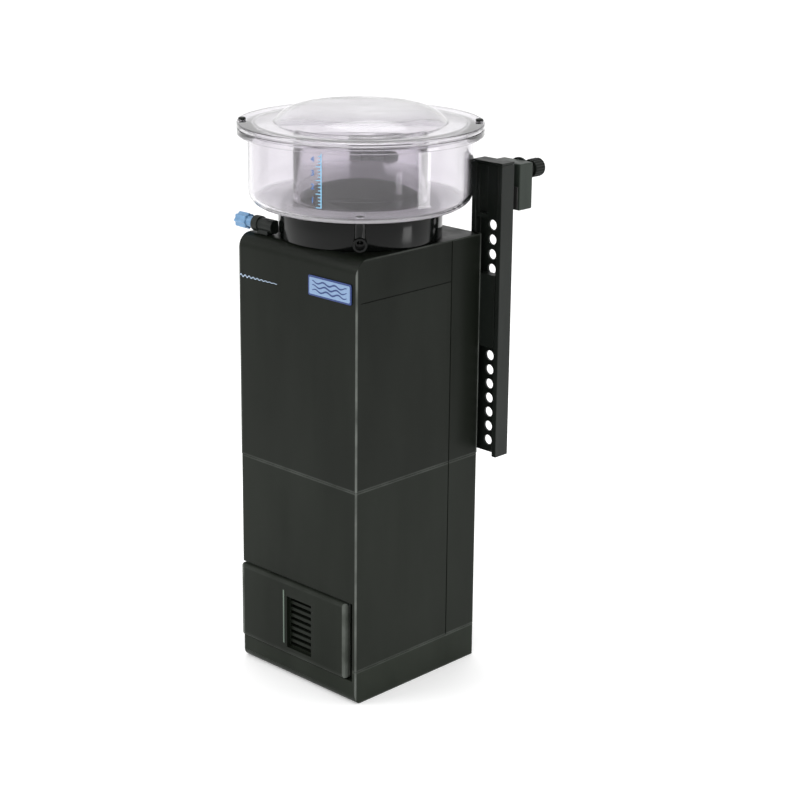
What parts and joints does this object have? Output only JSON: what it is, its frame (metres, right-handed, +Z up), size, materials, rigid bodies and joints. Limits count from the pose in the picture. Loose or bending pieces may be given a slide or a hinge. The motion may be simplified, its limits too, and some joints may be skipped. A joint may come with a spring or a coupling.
{
  "type": "protein skimmer",
  "caption": "Square black tower with an inner needle-wheel pump, a clear lidded foam cup on a round neck, a side air valve and two rails with screw hooks.",
  "frame": {"origin": "middle of the tower's plan, on the underside of the base tray", "axes": "+Z up along the tower, -Y out of the face with the grille cover, +Y towards the hanging rails, +X to the right as seen from the grille side"},
  "size_m": [0.2056, 0.2438, 0.495],
  "materials": {
    "tower_black": "satin",
    "neck_black": "polished",
    "rail_black": "satin",
    "clear_cup": "clear, polished",
    "valve_blue": "satin",
    "rubber_black": "matt",
    "pump_grey": "satin",
    "magnet": "matt",
    "ceramic": "polished",
    "white_plastic": "satin",
    "hose": "satin",
    "badge_blue": "satin"
  },
  "bodies": {
    "tower": {"base_tray": "tower_black", "lower_housing": "tower_black", "upper_housing": "tower_black", "badge_plate": "badge_blue", "rear_partition": "tower_black", "bubble_plate": "tower_black", "outlet_pipe": "tower_black", "cable_gland": "rubber_black", "foam_cone": "tower_black", "neck_collar": "neck_black", "cup_gasket": "rubber_black", "air_valve_body": "rail_black", "air_hose": "hose", "air_injector": "pump_grey", "pump_motor": "pump_grey", "pump_volute": "pump_grey", "pump_outlet_pipe": "pump_grey", "intake_strainer": "pump_grey", "rotor_bush_front": "rubber_black", "rotor_bush_rear": "rubber_black", "pump_pad_front_left": "rubber_black", "pump_pad_front_right": "rubber_black", "pump_pad_rear_left": "rubber_black", "pump_pad_rear_right": "rubber_black", "guide_shoe_left": "rail_black", "guide_shoe_right": "rail_black"},
    "grille_cover": {"front_cover": "tower_black"},
    "collection_cup": {"cup": "clear_cup", "riser_tube": "clear_cup", "drain_elbow": "neck_black"},
    "cup_lid": {"lid": "clear_cup", "lid_pin_left": "rail_black", "lid_pin_right": "rail_black"},
    "valve_needle": {"air_needle": "rail_black"},
    "valve_knob": {"air_knob": "valve_blue"},
    "rotor": {"rotor_shaft": "ceramic", "rotor_magnet": "magnet", "foamer_wheel": "white_plastic"},
    "hanging_rail_right": {"rail_right": "rail_black", "hook_arm_right": "rail_black"},
    "jaw_right": {"hook_jaw_right": "rail_black", "jaw_pad_right": "rubber_black"},
    "clamp_nut_right": {"clamp_knob_right": "rail_black"},
    "hanging_rail_left": {"rail_left": "rail_black", "hook_arm_left": "rail_black"},
    "jaw_left": {"hook_jaw_left": "rail_black", "jaw_pad_left": "rubber_black"},
    "clamp_nut_left": {"clamp_knob_left": "rail_black"}
  },
  "joints": [
    {"name": "cover_pull", "type": "slide", "parent": "tower", "child": "grille_cover", "axis": [0, -1, 0], "range_m": [0, 0.03]},
    {"name": "cup_lift", "type": "slide", "parent": "tower", "child": "collection_cup", "axis": [0, 0, 1], "range_m": [0, 0.09]},
    {"name": "lid_lift", "type": "slide", "parent": "collection_cup", "child": "cup_lid", "axis": [0, 0, 1], "range_m": [0, 0.07]},
    {"name": "needle_slide", "type": "slide", "parent": "tower", "child": "valve_needle", "axis": [-1, 0, 0], "range_m": [0, 0.001]},
    {"name": "air_knob_turn", "type": "hinge", "parent": "valve_needle", "child": "valve_knob", "pos_m": [-0.085, -0.06, 0.3938], "axis": [-1, 0, 0], "range_deg": [0, 720]},
    {"name": "rotor_spin", "type": "hinge", "parent": "tower", "child": "rotor", "pos_m": [0, 0, 0.04], "axis": [0, 1, 0], "continuous": true},
    {"name": "rail_slide_right", "type": "slide", "parent": "tower", "child": "hanging_rail_right", "axis": [0, 0, 1], "range_m": [-0.03825, 0.01275]},
    {"name": "jaw_slide_right", "type": "slide", "parent": "hanging_rail_right", "child": "jaw_right", "axis": [0, 1, 0], "range_m": [-0.005, 0.004]},
    {"name": "clamp_turn_right", "type": "hinge", "parent": "jaw_right", "child": "clamp_nut_right", "pos_m": [0.07475, 0.1148, 0.43475], "axis": [0, 1, 0], "range_deg": [-1800, 1440]},
    {"name": "rail_slide_left", "type": "slide", "parent": "tower", "child": "hanging_rail_left", "axis": [0, 0, 1], "range_m": [-0.03825, 0.01275]},
    {"name": "jaw_slide_left", "type": "slide", "parent": "hanging_rail_left", "child": "jaw_left", "axis": [0, 1, 0], "range_m": [-0.005, 0.004]},
    {"name": "clamp_turn_left", "type": "hinge", "parent": "jaw_left", "child": "clamp_nut_left", "pos_m": [-0.07475, 0.1148, 0.43475], "axis": [0, 1, 0], "range_deg": [-1800, 1440]}
  ],
  "couplings": [
    {"joint": "air_knob_turn", "follows": "needle_slide", "rad_per_m": 12566},
    {"joint": "clamp_turn_right", "follows": "jaw_slide_right", "rad_per_m": 6283.2},
    {"joint": "clamp_turn_left", "follows": "jaw_slide_left", "rad_per_m": 6283.2}
  ]
}
